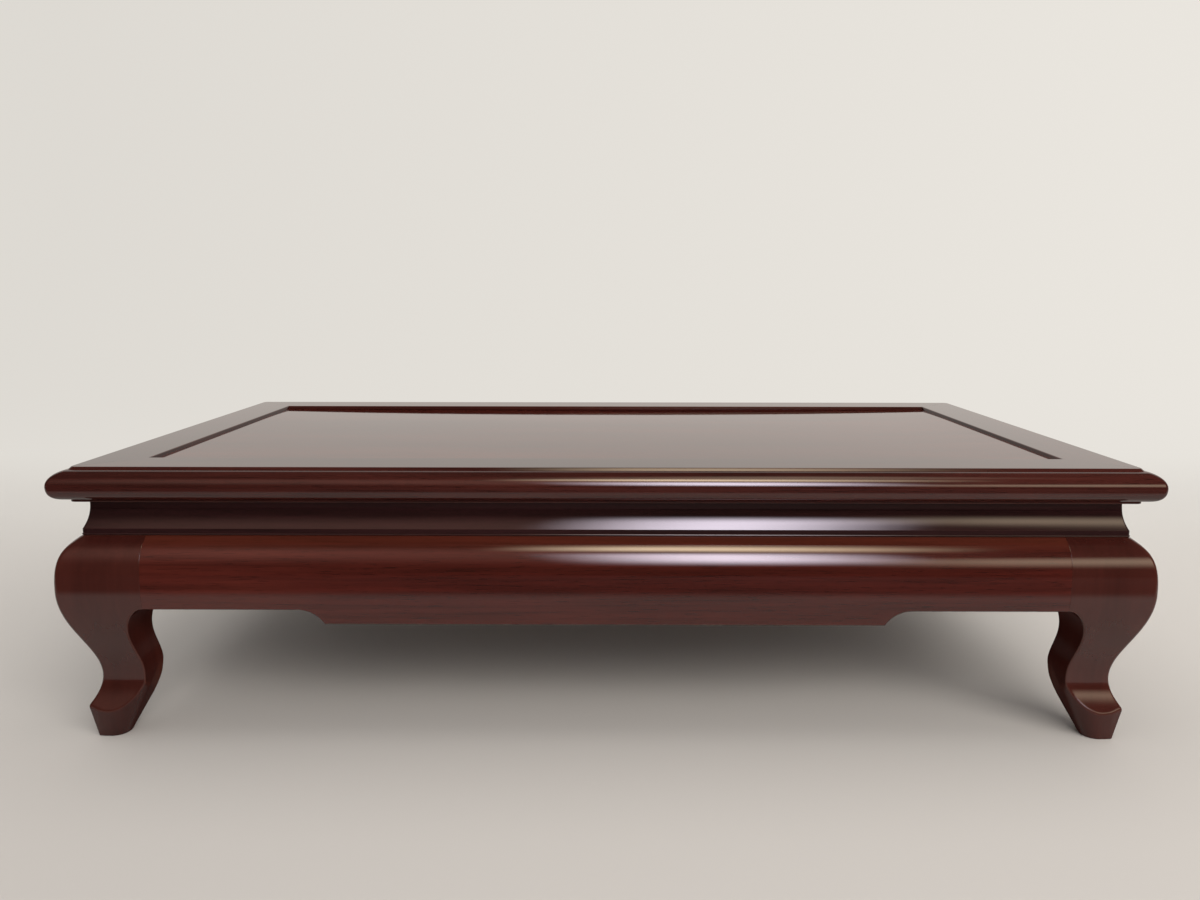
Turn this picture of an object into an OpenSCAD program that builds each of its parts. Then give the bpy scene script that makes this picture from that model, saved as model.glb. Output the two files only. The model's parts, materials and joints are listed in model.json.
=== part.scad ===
// Low flower stand: a mitred top frame with a sunk panel, a hollow waist,
// bulging aprons with a lowered middle, and four cabriole legs.
// Every moulding is drawn once as an outline of (inset, height) points. The inset is
// measured inwards from the outermost line of the stand, the height from the floor.

/* [Overall] */
// Width over the top moulding
stand_w = 606; // [480:1:760]
// Depth over the top moulding
stand_d = 330; // [260:1:420]
// Height from the floor to the top face
stand_h = 158; // [150:1:200]

/* [Top frame] */
// Width of a rail, outermost line to inner edge
rail_w = 41; // [38:0.1:48]
// Thickness of a rail
rail_t = 19.5; // [18:0.1:24]
// Inset of the top face's outer edge
top_edge_inset = 9.9; // [8:0.1:13]
// Height of the small sloped fillet above the rounded nose
top_fillet_h = 1.5; // [1:0.1:3]
// Slope of that fillet towards the nose, measured level
top_fillet_w = 1.5; // [0.2:0.1:2]
// Width of the slope inside the frame, from the top face down to the panel
inner_slope_w = 2.3; // [1:0.1:3]
// Height of that slope
inner_slope_h = 2; // [1:0.1:2.5]
// Depth of the nose's widest line below the top face
nose_drop = 9.9; // [8:0.1:12]
// Height of the fillet under the nose
low_fillet_h = 1.8; // [0.6:0.1:2.5]
// Inset of the fillet under the nose
low_edge_inset = 8.8; // [7:0.1:12]

/* [Panel] */
// Depth of the panel's face below the top face of the frame
panel_recess = 2.3; // [1.5:0.1:4]
// Height of the panel's raised field above its tongue
field_step = 1.4; // [0.4:0.1:2]
// Thickness of the tongue round the panel
tongue_t = 4.2; // [3:0.1:5]
// Length of the tongue inside the groove
tongue_l = 5.5; // [4:0.1:6]
// Depth of the panel's underside below its tongue
panel_under = 2; // [1:0.1:3]
// Gap between the raised field and the rail's edge
field_gap = 0.2; // [0.1:0.1:1]
// Room for the tongue to move in the groove's depth
groove_room = 1.5; // [0.5:0.1:2]

/* [Battens] */
// Width of a batten
batten_w = 22; // [18:1:30]
// Thickness of a batten under the panel
batten_t = 7.5; // [6:0.1:8]
// Distance of a batten from the middle of the stand
batten_x = 125; // [90:1:140]
// Height of a batten's dovetail
dovetail_h = 2.2; // [1.5:0.1:3]
// Width of the dovetail at its neck
dovetail_neck = 10; // [8:0.5:12]
// Width that the dovetail gains at its top
dovetail_flare = 3; // [1:0.5:5]
// Length of a batten's stub tenon
batten_tenon_l = 6; // [4:0.5:8]
// Thickness of a batten's stub tenon
batten_tenon_t = 4.5; // [3:0.1:5]
// Width of a batten's stub tenon
batten_tenon_w = 16; // [12:1:17]

/* [Mitre tongues] */
// Length of a loose tongue across the mitre
mitre_tongue_l = 24; // [18:1:28]
// Width of a loose tongue along the mitre
mitre_tongue_w = 15; // [10:1:18]
// Thickness of a loose tongue
mitre_tongue_t = 3; // [2:0.1:4]
// Height of a loose tongue's underside above the rail's underside
mitre_tongue_up = 5.1; // [3:0.1:6]
// Inset of a loose tongue's centre
mitre_tongue_inset = 19.5; // [18:0.1:21]

/* [Waist] */
// Height of the waist
waist_h = 19.4; // [17:0.1:28]
// Inset of the waist's face under the frame
waist_top_inset = 15.6; // [14.5:0.1:17]
// Inset of the waist's foot, a plain fillet
waist_foot_inset = 12.6; // [12.4:0.1:14]
// Height of the waist's foot fillet
waist_foot_h = 3.5; // [3:0.1:6]
// Depth of the plain band at the top of the waist
waist_band = 1.2; // [0.5:0.1:3]
// Width of the step between the hollow and the foot fillet
waist_step = 0.5; // [0.2:0.1:1]
// Inset of the back faces of the waist and the aprons
core_inset = 26; // [24:0.1:27]

/* [Apron] */
// Inset of the apron's and leg's upper edge
knee_top_inset = 12.4; // [11:0.1:12.4]
// Slope of the bulge at its upper edge, down from level
knee_top_angle = 37; // [25:0.5:50]
// Depth of the bulge's fullest line below the upper edge
knee_drop = 28.4; // [23:0.1:33]
// Inset of the bulge's fullest line
knee_inset = 0.3; // [0:0.1:2]
// Height of the apron beside the legs
apron_h = 39.8; // [35:0.1:47]
// Extra height of the apron's lowered middle
drop_h = 9.1; // [5:0.1:12]
// Radius of the cove at each end of the lowered middle
drop_r = 15.5; // [13:0.1:20]
// Distance from the leg's seam to the cove on the long sides
long_plain = 85.3; // [60:0.1:110]
// Distance from the leg's seam to the cove on the short sides
short_plain = 42; // [25:0.1:55]
// Length of an apron's tenon
apron_tenon_l = 14; // [10:0.5:18]
// Thickness of an apron's tenon
apron_tenon_t = 8; // [6:0.1:9]
// Inset of an apron's tenon
apron_tenon_inset = 13.5; // [12.5:0.1:15]
// Shoulder above and below an apron's tenon
apron_shoulder = 6; // [5:0.1:9]

/* [Legs] */
// Width of the leg at the seam with the apron
leg_w = 48.2; // [46:0.1:54]
// Inset of the ankle's outer line
ankle_inset = 15.2; // [12:0.1:17]
// Height of the ankle's outer line
ankle_z = 36.2; // [32:0.1:42]
// Inset of the leg's inner line at its narrowest below the knee
calf_inner = 36.5; // [34:0.1:38.5]
// Depth of that line below the apron
calf_drop = 18.6; // [14:0.1:24]
// Inset of the leg's inner line at the ankle
ankle_inner = 40; // [38.5:0.1:43]
// Inset where the instep runs out at the toe
toe_inset = 6.9; // [5:0.1:9]
// Height where the instep runs out at the toe
toe_z = 16.2; // [13:0.1:19]
// Rise of the instep at the toe, up from level
instep_angle = 58; // [45:1:70]
// Centre inset of the foot's round at the floor
foot_c = 19.5; // [18:0.1:22]
// Radius of the foot's round at the floor
foot_r = 7.7; // [6:0.1:9]
// Centre inset of the foot's round where it starts
foot_top_c = 22.7; // [22:0.1:24]
// Radius of the foot's round where it starts
foot_top_r = 19.2; // [18.5:0.1:20.5]
// Height where the foot's round starts
foot_top_z = 32; // [29:0.1:32]
// How far the toe's outer corner stands off the round
toe_nib = 1.6; // [0.5:0.1:3]
// Length of the two stub tenons on top of a leg
leg_tenon_l = 8; // [5:0.1:9]
// Inset of a leg's stub tenon from the face of the frame
leg_tenon_inset = 28; // [27:0.1:29]
// Thickness of a leg's stub tenon
leg_tenon_t = 7.5; // [5:0.1:8]
// Width of a leg's stub tenon
leg_tenon_w = 7; // [5:0.1:7.5]
// Shoulder between a stub tenon and the post's inner face
leg_tenon_shoulder = 1; // [0.5:0.1:2]

/* [Blocks and screws] */
// Length of a glue block
block_l = 40; // [30:1:60]
// Width of a glue block
block_w = 12; // [11:0.1:12.5]
// Distance between glue blocks on the long sides
block_pitch = 165; // [140:1:180]
// Diameter of a wood screw
screw_d = 3.5; // [3:0.1:4.5]
// Diameter of a screw's head
screw_head_d = 7; // [6:0.1:8.5]
// Depth of a screw's countersunk head
screw_head_h = 2.4; // [1.5:0.1:3]
// Bite of a screw in the rail
screw_bite = 8.5; // [6:0.1:9]

/* [Fits] */
// Room round a tenon, tongue or dovetail
joint_room = 0.1; // [0.05:0.01:0.2]
// Room round a screw
screw_room = 0.05; // [0.02:0.01:0.1]

/* [Hidden] */

// Steps along a smooth curve
steps = 12;
$fn = 48;
// Overshoot of a cut past the face that it opens, and of a tenon into its own piece
past = 1;
// Thickness of the two slices that the foot's round is spanned between
slice = 0.01;
// Handle share of a curve that follows an ellipse
round_share = 0.5523;
// Handle shares of the nose, at its flat end and at its widest line
nose_upper_share = [0.22, 0.74];
nose_lower_share = [0.48, 0.89];
// Handle shares of the leg's curves, each as a share of the curve's own height
knee_share = [0.23, 0.73];
calf_share = [0.428, 0.294];
instep_share = [0.45, 0.315];
inner_share = [0.367, 0.367];

rail_z = stand_h - rail_t;
apron_z = rail_z - waist_h;
knee_z = apron_z - knee_drop;
seam_z = apron_z - apron_h;
drop_z = seam_z - drop_h;
panel_z = stand_h - panel_recess;
tongue_z = panel_z - field_step;
tongue_low_z = tongue_z - tongue_t;
panel_low_z = tongue_low_z - panel_under;
batten_z = panel_low_z - batten_t;
groove_d = tongue_l + groove_room;
SIDES = ["front", "right", "back", "left"];

function is_long(side) = side == "front" || side == "back";
function side_length(side) = is_long(side) ? stand_w : stand_d;
function side_across(side) = is_long(side) ? stand_d : stand_w;
function cubic(a, b, c, d, t) =
    pow(1 - t, 3) * a + 3 * pow(1 - t, 2) * t * b + 3 * (1 - t) * t * t * c + pow(t, 3) * d;
function curve(a, b, c, d) = [for (i = [0 : steps]) cubic(a, b, c, d, i / steps)];
function heading(angle) = [cos(angle), sin(angle)];
function down() = [0, -1];
// Curve from a level end to an upright end, with handles as shares of the span
function quarter(flat, upright, share) = curve(
    flat,
    [flat.x + (upright.x - flat.x) * share[0], flat.y],
    [upright.x, upright.y + (flat.y - upright.y) * share[1]],
    upright);
function reversed(points) = [for (i = [len(points) - 1 : -1 : 0]) points[i]];

// Curve that leaves its start and reaches its end in given directions, with handles
// as shares of its height
function sweep_down(start, leaving, end, reaching, share) = curve(
    start,
    start + leaving * share[0] * (start.y - end.y),
    end - reaching * share[1] * (start.y - end.y),
    end);
// Outline of the bulge from the upper edge to its fullest line
function knee_curve() = sweep_down([knee_top_inset, apron_z], -heading(knee_top_angle),
    [knee_inset, knee_z], down(), knee_share);
// Outline from the bulge's fullest line to the ankle
function calf_curve() = sweep_down([knee_inset, knee_z], down(),
    [ankle_inset, ankle_z], down(), calf_share);
// Outline from the ankle down the instep to the toe
function instep_curve() = sweep_down([ankle_inset, ankle_z], down(),
    [toe_inset, toe_z], -heading(instep_angle), instep_share);
// Outline of the leg's inner side, from the seam down to the ankle
function inner_curve() = let (
    calf = [calf_inner, seam_z - calf_drop],
    ankle = [ankle_inner, ankle_z])
    concat(
        quarter([leg_w, seam_z], calf, [round_share, round_share]),
        sweep_down(calf, down(), ankle, down(), inner_share));

// Puts a piece drawn along x, with its inset along y, on one side of the stand
module on_side(side) {
    turn = search([side], SIDES)[0] * 90;
    rotate(turn)
        translate([-side_length(side) / 2, -side_across(side) / 2, 0])
            children();
}

// Puts a piece drawn at the front left corner on any corner
module on_corner(right, back) {
    mirror([right ? 1 : 0, 0, 0])
        mirror([0, back ? 1 : 0, 0])
            translate([-stand_w / 2, -stand_d / 2, 0])
                children();
}

// Carries an (inset, height) outline along x
module moulding(length) {
    rotate([90, 0, 90])
        linear_extrude(length)
            children();
}

// Length of moulding with a mitre at both ends
module mitred_moulding(side, width) {
    intersection() {
        moulding(side_length(side))
            children();
        linear_extrude(stand_h)
            polygon([
                [0, 0],
                [side_length(side), 0],
                [side_length(side) - width, width],
                [width, width]
            ]);
    }
}

// Box given by its lowest corner and its size, grown by a clearance on every side
module block_at(corner, size, room = 0) {
    translate([corner.x - room, corner.y - room, corner.z - room])
        cube([size.x + 2 * room, size.y + 2 * room, size.z + 2 * room]);
}

module rail_outline() {
    nose_top = [top_edge_inset - top_fillet_w, stand_h - top_fillet_h];
    nose_side = [0, stand_h - nose_drop];
    nose_low = [low_edge_inset, rail_z + low_fillet_h];
    difference() {
        polygon(concat(
            [[rail_w, rail_z], [rail_w, stand_h - inner_slope_h]],
            [[rail_w - inner_slope_w, stand_h], [top_edge_inset, stand_h]],
            quarter(nose_top, nose_side, nose_upper_share),
            reversed(quarter(nose_low, nose_side, nose_lower_share)),
            [[low_edge_inset, rail_z]]));
        translate([rail_w - groove_d, tongue_low_z])
            square([groove_d + past, tongue_t + 2 * joint_room]);
    }
}

module top_rail(side) {
    color("#4a1c17")
        on_side(side)
            difference() {
                mitred_moulding(side, rail_w)
                    rail_outline();
                for (end = [0, 1])
                    translate([end * side_length(side), 0, 0])
                        mirror([end, 0, 0]) {
                            leg_tenon(joint_room);
                            mitre_tongue_form(joint_room);
                        }
                if (is_long(side))
                    for (x = [-batten_x, batten_x])
                        translate([side_length(side) / 2 + x, 0, 0])
                            batten_tenon(joint_room);
                for (x = block_places(side))
                    translate([x, 0, 0])
                        screw_form(screw_room);
            }
}

// One of a leg's two stub tenons, seen from the side whose rail it enters
module leg_tenon(room = 0) {
    block_at([leg_w - leg_tenon_w - leg_tenon_shoulder, leg_tenon_inset, rail_z - past],
        [leg_tenon_w, leg_tenon_t, leg_tenon_l + past], room);
}

module mitre_tongue_form(room = 0) {
    translate([mitre_tongue_inset, mitre_tongue_inset, rail_z + mitre_tongue_up])
        rotate(45)
            block_at([-mitre_tongue_w / 2, -mitre_tongue_l / 2, 0],
                [mitre_tongue_w, mitre_tongue_l, mitre_tongue_t], room);
}

module mitre_tongue(right, back) {
    color("#a98a63")
        on_corner(right, back)
            mitre_tongue_form();
}

module top_panel() {
    body = [stand_w - 2 * rail_w, stand_d - 2 * rail_w];
    color("#5a2a22")
        difference() {
            union() {
                translate([0, 0, (panel_z + panel_low_z) / 2])
                    cube([body.x - 2 * field_gap, body.y - 2 * field_gap,
                        panel_z - panel_low_z], center = true);
                translate([0, 0, tongue_low_z + tongue_t / 2])
                    cube([body.x + 2 * tongue_l, body.y + 2 * tongue_l, tongue_t],
                        center = true);
            }
            for (x = [-batten_x, batten_x])
                translate([x, 0, 0])
                    dovetail(body.y + past, joint_room);
        }
}

// Sliding dovetail between a batten and the panel
module dovetail(length, room = 0) {
    half = dovetail_neck / 2 + room;
    top = dovetail_h + room;
    translate([0, length / 2, panel_low_z])
        rotate([90, 0, 0])
            linear_extrude(length)
                polygon([
                    [-half, -room], [half, -room],
                    [half + dovetail_flare / 2, top], [-half - dovetail_flare / 2, top]
                ]);
}

// Stub tenon of a batten, seen from the long side whose rail it enters
module batten_tenon(room = 0) {
    block_at([-batten_tenon_w / 2, rail_w - batten_tenon_l,
        batten_z + (batten_t - batten_tenon_t) / 2],
        [batten_tenon_w, batten_tenon_l + past, batten_tenon_t], room);
}

module panel_batten(x) {
    span = stand_d - 2 * rail_w;
    color("#8d6c4a")
        translate([x, 0, 0]) {
            translate([-batten_w / 2, -span / 2, batten_z])
                cube([batten_w, span, batten_t]);
            dovetail(span - 2 * field_gap);
            for (turn = [0, 180])
                rotate(turn)
                    translate([0, -stand_d / 2, 0])
                        batten_tenon();
        }
}

module waist_outline() {
    foot_top = apron_z + waist_foot_h;
    hollow_top = [waist_top_inset, rail_z - waist_band];
    hollow_low = [waist_foot_inset + waist_step, foot_top];
    // The hollow is one arc that starts upright, and its radius follows from its two ends
    rise = hollow_top.y - hollow_low.y;
    reach = hollow_top.x - hollow_low.x;
    radius = (rise * rise + reach * reach) / (2 * reach);
    sweep = asin(rise / radius);
    polygon(concat(
        [[core_inset, apron_z], [core_inset, rail_z], [waist_top_inset, rail_z]],
        [for (i = [0 : steps])
            hollow_top + radius * [cos(sweep * i / steps) - 1, -sin(sweep * i / steps)]],
        [[waist_foot_inset, foot_top], [waist_foot_inset, apron_z]]));
}

module waist(side) {
    color("#3a1616")
        on_side(side)
            mitred_moulding(side, core_inset)
                waist_outline();
}

module apron_outline() {
    polygon(concat(
        [[core_inset, 0], [core_inset, apron_z]],
        knee_curve(),
        calf_curve(),
        [[ankle_inset, 0]]));
}

// Face of an apron: the lowered middle ends in a cove on both sides
module apron_face(side, plain) {
    length = side_length(side);
    difference() {
        translate([leg_w, drop_z])
            square([length - 2 * leg_w, apron_z - drop_z]);
        for (end = [0, 1])
            translate([end * length, 0])
                mirror([end, 0])
                    translate([leg_w + plain, seam_z - drop_r]) {
                        circle(drop_r);
                        translate([-plain - past, 0])
                            square([plain + past, drop_r]);
                    }
    }
}

module apron(side) {
    plain = is_long(side) ? long_plain : short_plain;
    color("#5e1f17")
        on_side(side) {
            intersection() {
                moulding(side_length(side))
                    apron_outline();
                translate([0, core_inset, 0])
                    rotate([90, 0, 0])
                        linear_extrude(core_inset)
                            apron_face(side, plain);
            }
            for (end = [0, 1])
                translate([end * side_length(side), 0, 0])
                    mirror([end, 0, 0])
                        apron_tenon();
        }
}

// Tenon of an apron, seen from the side that the apron closes
module apron_tenon(room = 0) {
    block_at([leg_w - apron_tenon_l, apron_tenon_inset, seam_z + apron_shoulder],
        [apron_tenon_l + past, apron_tenon_t, apron_h - 2 * apron_shoulder], room);
}

// Outline that the leg is sawn to from both faces
module leg_outline() {
    polygon(concat(
        [[leg_w, apron_z]],
        knee_curve(),
        calf_curve(),
        instep_curve(),
        [[toe_inset, 0], [ankle_inner, 0]],
        reversed(inner_curve())));
}

// Plan of the foot's round at a height, with the toe's corner and the square inner corner
module foot_plan(z) {
    share = z / foot_top_z;
    centre = foot_c + (foot_top_c - foot_c) * share;
    radius = foot_r + (foot_top_r - foot_r) * share;
    toe = centre - radius * cos(45) - toe_nib;
    translate([0, 0, z])
        linear_extrude(slice) {
            translate([centre, centre])
                circle(radius);
            translate([toe, toe])
                square(radius);
            if (z > 0)
                translate([centre, centre])
                    square(radius);
        }
}

module leg_form() {
    intersection() {
        moulding(leg_w)
            leg_outline();
        mirror([1, -1, 0])
            moulding(leg_w)
                leg_outline();
        union() {
            translate([0, 0, foot_top_z])
                cube([leg_w, leg_w, apron_z - foot_top_z]);
            hull() {
                foot_plan(-past);
                foot_plan(foot_top_z);
            }
        }
    }
}

module leg(right, back) {
    post_w = leg_w - core_inset;
    color("#452019")
        on_corner(right, back) {
            difference() {
                leg_form();
                for (flip = [0, 1])
                    mirror([flip, -flip, 0])
                        apron_tenon(joint_room);
            }
            translate([core_inset, core_inset, seam_z])
                cube([post_w, post_w, rail_z - seam_z]);
            for (flip = [0, 1])
                mirror([flip, -flip, 0])
                    leg_tenon();
        }
}

// Places of the glue blocks along a side, measured from the side's left end
function block_places(side) = is_long(side)
    ? [for (step = [-1 : 1]) side_length(side) / 2 + step * block_pitch]
    : [side_length(side) / 2];

module screw_form(room = 0) {
    radius = screw_d / 2 + room;
    translate([0, core_inset + block_w / 2, apron_z]) {
        cylinder(h = waist_h + screw_bite + room, r = radius);
        cylinder(h = screw_head_h, r1 = screw_head_d / 2 + room, r2 = radius);
    }
}

module glue_block(side, place) {
    color("#9c7a55")
        on_side(side)
            translate([block_places(side)[place], 0, 0])
                difference() {
                    block_at([-block_l / 2, core_inset, apron_z],
                        [block_l, block_w, waist_h]);
                    screw_form(screw_room);
                }
}

module block_screws() {
    color("#b9b4a8")
        for (side = SIDES)
            on_side(side)
                for (x = block_places(side))
                    translate([x, 0, 0])
                        screw_form();
}

top_rail("front");  // top_rail_front
top_rail("right");  // top_rail_right
top_rail("back");  // top_rail_back
top_rail("left");  // top_rail_left
top_panel();
panel_batten(-batten_x);  // panel_batten_left
panel_batten(batten_x);  // panel_batten_right
mitre_tongue(false, false);  // mitre_tongue_front_left
mitre_tongue(true, false);  // mitre_tongue_front_right
mitre_tongue(true, true);  // mitre_tongue_back_right
mitre_tongue(false, true);  // mitre_tongue_back_left
waist("front");  // waist_front
waist("right");  // waist_right
waist("back");  // waist_back
waist("left");  // waist_left
apron("front");  // apron_front
apron("right");  // apron_right
apron("back");  // apron_back
apron("left");  // apron_left
leg(false, false);  // leg_front_left
leg(true, false);  // leg_front_right
leg(true, true);  // leg_back_right
leg(false, true);  // leg_back_left
glue_block("front", 0);  // glue_block_front_left
glue_block("front", 1);  // glue_block_front_middle
glue_block("front", 2);  // glue_block_front_right
glue_block("back", 0);  // glue_block_back_right
glue_block("back", 1);  // glue_block_back_middle
glue_block("back", 2);  // glue_block_back_left
glue_block("left", 0);  // glue_block_left
glue_block("right", 0);  // glue_block_right
block_screws();
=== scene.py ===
# Low flower stand in lacquered rosewood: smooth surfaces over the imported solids, wood and
# lacquer materials, a pale floor with a swept back, soft lamps and the camera.
# Shapes are worked out in millimetres, as insets from the stand's outermost line and
# heights from the floor, and become metres when a mesh is made.
import json
import math

import bpy
import numpy as np
from mathutils import Euler, Matrix

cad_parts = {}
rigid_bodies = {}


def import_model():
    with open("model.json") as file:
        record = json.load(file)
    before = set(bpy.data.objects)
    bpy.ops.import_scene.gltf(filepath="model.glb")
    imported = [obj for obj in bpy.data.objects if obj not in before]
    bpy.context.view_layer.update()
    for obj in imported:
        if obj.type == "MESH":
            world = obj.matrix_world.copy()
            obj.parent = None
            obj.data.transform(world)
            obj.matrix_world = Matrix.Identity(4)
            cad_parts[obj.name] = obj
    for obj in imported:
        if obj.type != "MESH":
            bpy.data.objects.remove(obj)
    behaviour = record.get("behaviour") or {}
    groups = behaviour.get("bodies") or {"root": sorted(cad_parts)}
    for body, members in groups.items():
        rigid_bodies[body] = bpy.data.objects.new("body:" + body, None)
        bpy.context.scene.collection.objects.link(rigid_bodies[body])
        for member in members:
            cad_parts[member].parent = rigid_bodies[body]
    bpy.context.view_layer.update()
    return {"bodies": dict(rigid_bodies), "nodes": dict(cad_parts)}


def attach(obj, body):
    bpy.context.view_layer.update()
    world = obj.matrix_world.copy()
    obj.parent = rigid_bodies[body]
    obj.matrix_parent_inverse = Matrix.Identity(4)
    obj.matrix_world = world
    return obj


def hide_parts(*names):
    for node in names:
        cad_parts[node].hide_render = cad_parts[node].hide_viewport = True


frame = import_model()
body = next(iter(frame["bodies"]))
millimetre = 0.001
print("frame loaded:", len(frame["nodes"]), "nodes")

stand = {"width": 606.0, "depth": 330.0, "height": 158.0,
         "railUnder": 138.5, "waistUnder": 119.1, "coreInset": 26.0}
sides = {"front": (0, stand["width"], stand["depth"]), "right": (1, stand["depth"], stand["width"]),
         "back": (2, stand["width"], stand["depth"]), "left": (3, stand["depth"], stand["width"])}
# the way in from each side, shorter where the faces turned that way are dulled less
inwards = {"front": (0, 1, 0), "right": (-0.42, 0, 0), "back": (0, -1, 0), "left": (0.42, 0, 0)}
legInward = 0.7
# rows across an arris, as shares of its ease: closest where the surface turns most
tight = np.array((0, 0.16, 0.33, 0.5, 0.68, 0.86, 1.06, 1.35))


# curves
def bezier(start, leaving, reaching, end, steps=24):
    # cubic curve: the four points weighted by (1-t)^3, 3(1-t)^2 t, 3(1-t)t^2 and t^3
    t = np.linspace(0, 1, steps + 1)[:, None]
    a, b, c, d = (np.asarray(p, float) for p in (start, leaving, reaching, end))
    return (1 - t) ** 3 * a + 3 * (1 - t) ** 2 * t * b + 3 * (1 - t) * t ** 2 * c + t ** 3 * d


def quarter(flat, upright, share, steps=24):
    # curve from a level end to an upright end, with its handles as shares of the span
    flat, upright = np.asarray(flat, float), np.asarray(upright, float)
    return bezier(flat, (flat[0] + (upright[0] - flat[0]) * share[0], flat[1]),
                  (upright[0], upright[1] + (flat[1] - upright[1]) * share[1]), upright, steps)


def heading(degrees):
    return np.array((math.cos(math.radians(degrees)), math.sin(math.radians(degrees))))


def sweepDown(start, leaving, end, reaching, share, steps=48):
    # curve that leaves and arrives in given directions, with handles as shares of its height
    start, end = np.asarray(start, float), np.asarray(end, float)
    drop = start[1] - end[1]
    return bezier(start, start + leaving * share[0] * drop, end - reaching * share[1] * drop, end, steps)


def easedOutline(points, ease, steps=5, closed=True):
    # rounds each corner with a quadratic arc that starts the ease's length before the corner,
    # and sets a support point just outside each arc, so that flats stay flat in the light.
    # Returns the outline and, for each point, how far it lies inside an arris, from 0 to 1
    longestCut, supportAt, tooClose = 0.42, 1.18, 1e-5
    points, ease = np.asarray(points, float), np.asarray(ease, float)
    before, after = np.roll(points, 1, 0) - points, np.roll(points, -1, 0) - points
    reachBefore = np.linalg.norm(before, axis=1)
    reachAfter = np.linalg.norm(after, axis=1)
    if not closed:
        ease = ease.copy()
        ease[[0, -1]] = 0
    cut = np.minimum(ease, longestCut * np.minimum(reachBefore, reachAfter))
    before, after = before / reachBefore[:, None], after / reachAfter[:, None]
    t = np.linspace(0, 1, steps + 1)
    along = cut[:, None, None]
    first, last = points[:, None] + before[:, None] * along, points[:, None] + after[:, None] * along
    arc = ((1 - t) ** 2)[None, :, None] * first + (2 * t * (1 - t))[None, :, None] * points[:, None] \
        + (t ** 2)[None, :, None] * last
    supportBefore = points[:, None] + before[:, None] * along * supportAt
    supportAfter = points[:, None] + after[:, None] * along * supportAt
    rows = np.concatenate((supportBefore, arc, supportAfter), 1).reshape(-1, 2)
    worn = np.concatenate((np.zeros(1), 4 * t * (1 - t), np.zeros(1)))
    worn = (worn[None, :] * (cut > 0)[:, None]).ravel()
    gap = np.linalg.norm(np.roll(rows, -1, 0) - rows, axis=1)
    keep = gap > tooClose
    if not closed:
        keep[-1] = True
    return rows[keep], worn[keep]


# meshes
def addToScene(name, data):
    made = bpy.data.objects.new(name, data)
    bpy.context.scene.collection.objects.link(made)
    return made


def placeOnSide(points, side):
    # turns inset coordinates of one side into the stand's own: the side's left end is at x = 0
    # and its outermost line at y = 0, then a turn of 90 degrees for each side
    turn, length, across = sides[side]
    moved = points - np.array((length / 2, across / 2, 0))
    c, s = (1, 0, -1, 0)[turn], (0, 1, 0, -1)[turn]
    return np.stack((moved[..., 0] * c - moved[..., 1] * s,
                     moved[..., 0] * s + moved[..., 1] * c, moved[..., 2]), -1)


# two turns of a face that start and complete its dulling, and the scuffing near the floor
dulling = {"under": (0.8, 1.0), "inward": (0.2, 8 / 15), "scuff": (0.3, 0), "scuffHeight": (30, 36)}
sharpAngle = 34


def signedVolume(points, quads, ends):
    # six times the volume that the faces enclose, above 0 where they look outwards
    a, b, c, d = (points[quads[:, k]] for k in range(4))
    volume = np.einsum("ij,ij->i", a, np.cross(b, c)).sum() + np.einsum("ij,ij->i", a, np.cross(c, d)).sum()
    for end in ends:
        fan = points[end]
        first = np.broadcast_to(fan[0], fan[1:-1].shape)
        volume += np.einsum("ij,ij->i", first, np.cross(fan[1:-1], fan[2:])).sum()
    return volume


def dullShare(points, normal, inward):
    # undersides and faces turned inward get less lacquer than the faces that are seen, and the
    # lacquer is a little scuffed close to the floor
    hidden = np.maximum(np.interp(-normal[:, 2], dulling["under"], (0, 1)),
                        np.interp(normal @ np.array(inward), dulling["inward"], (0, 1)))
    return np.maximum(hidden, np.interp(points[:, 2], dulling["scuffHeight"], dulling["scuff"]))


def ringMesh(name, rings, worn, replaced, material, inward=(0, 0, 0)):
    # surface over a grid: closed rings stand one after another, quads join each ring to the
    # next, and the first and last ring are closed by flat faces
    count, around = rings.shape[:2]
    index = np.arange(count * around).reshape(count, around)
    following = np.roll(index, -1, 1)
    quads = np.stack((index[:-1], following[:-1], following[1:], index[1:]), -1).reshape(-1, 4)
    points = rings.reshape(-1, 3)
    ends = [index[0][::-1], index[-1]]
    if signedVolume(points, quads, ends) < 0:
        quads, ends = quads[:, ::-1], [end[::-1] for end in ends]
    mesh = bpy.data.meshes.new(name)
    mesh.from_pydata((points * millimetre).tolist(), [], quads.tolist() + [end.tolist() for end in ends])
    mesh.polygons.foreach_set("use_smooth", np.ones(len(mesh.polygons), bool))
    mesh.set_sharp_from_angle(angle=math.radians(sharpAngle))
    # on the aprons this share also carries a painted light strip along the upper edge, besides the worn arrises
    arris = mesh.attributes.new("arris", "FLOAT", "POINT")
    arris.data.foreach_set("value", np.broadcast_to(worn, (count, around)).astype(np.float32).ravel())
    mesh.update()
    normal = np.empty(count * around * 3, np.float32)
    mesh.vertex_normals.foreach_get("vector", normal)
    dull = mesh.attributes.new("dull", "FLOAT", "POINT")
    dull.data.foreach_set("value", dullShare(points, normal.reshape(-1, 3), inward).astype(np.float32))
    mesh.materials.append(material)
    piece = addToScene(name, mesh)
    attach(piece, body)
    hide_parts(replaced)


# materials
def node(tree, kind, inputs=(), **settings):
    made = tree.nodes.new("ShaderNode" + kind)
    for key, value in settings.items():
        setattr(made, key, value)
    for key, value in dict(inputs).items():
        if isinstance(value, bpy.types.NodeSocket):
            tree.links.new(value, made.inputs[key])
        else:
            made.inputs[key].default_value = value
    return made


def ramp(tree, source, stops):
    made = node(tree, "ValToRGB", {"Fac": source})
    while len(made.color_ramp.elements) < len(stops):
        made.color_ramp.elements.new(0.5)
    for element, (place, colour) in zip(made.color_ramp.elements, stops):
        element.position = place
        element.color = (*colour, 1)
    return made.outputs["Color"]


def greyRamp(tree, source, stops):
    return ramp(tree, source, [(place, (tone, tone, tone)) for place, tone in stops])


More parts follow.
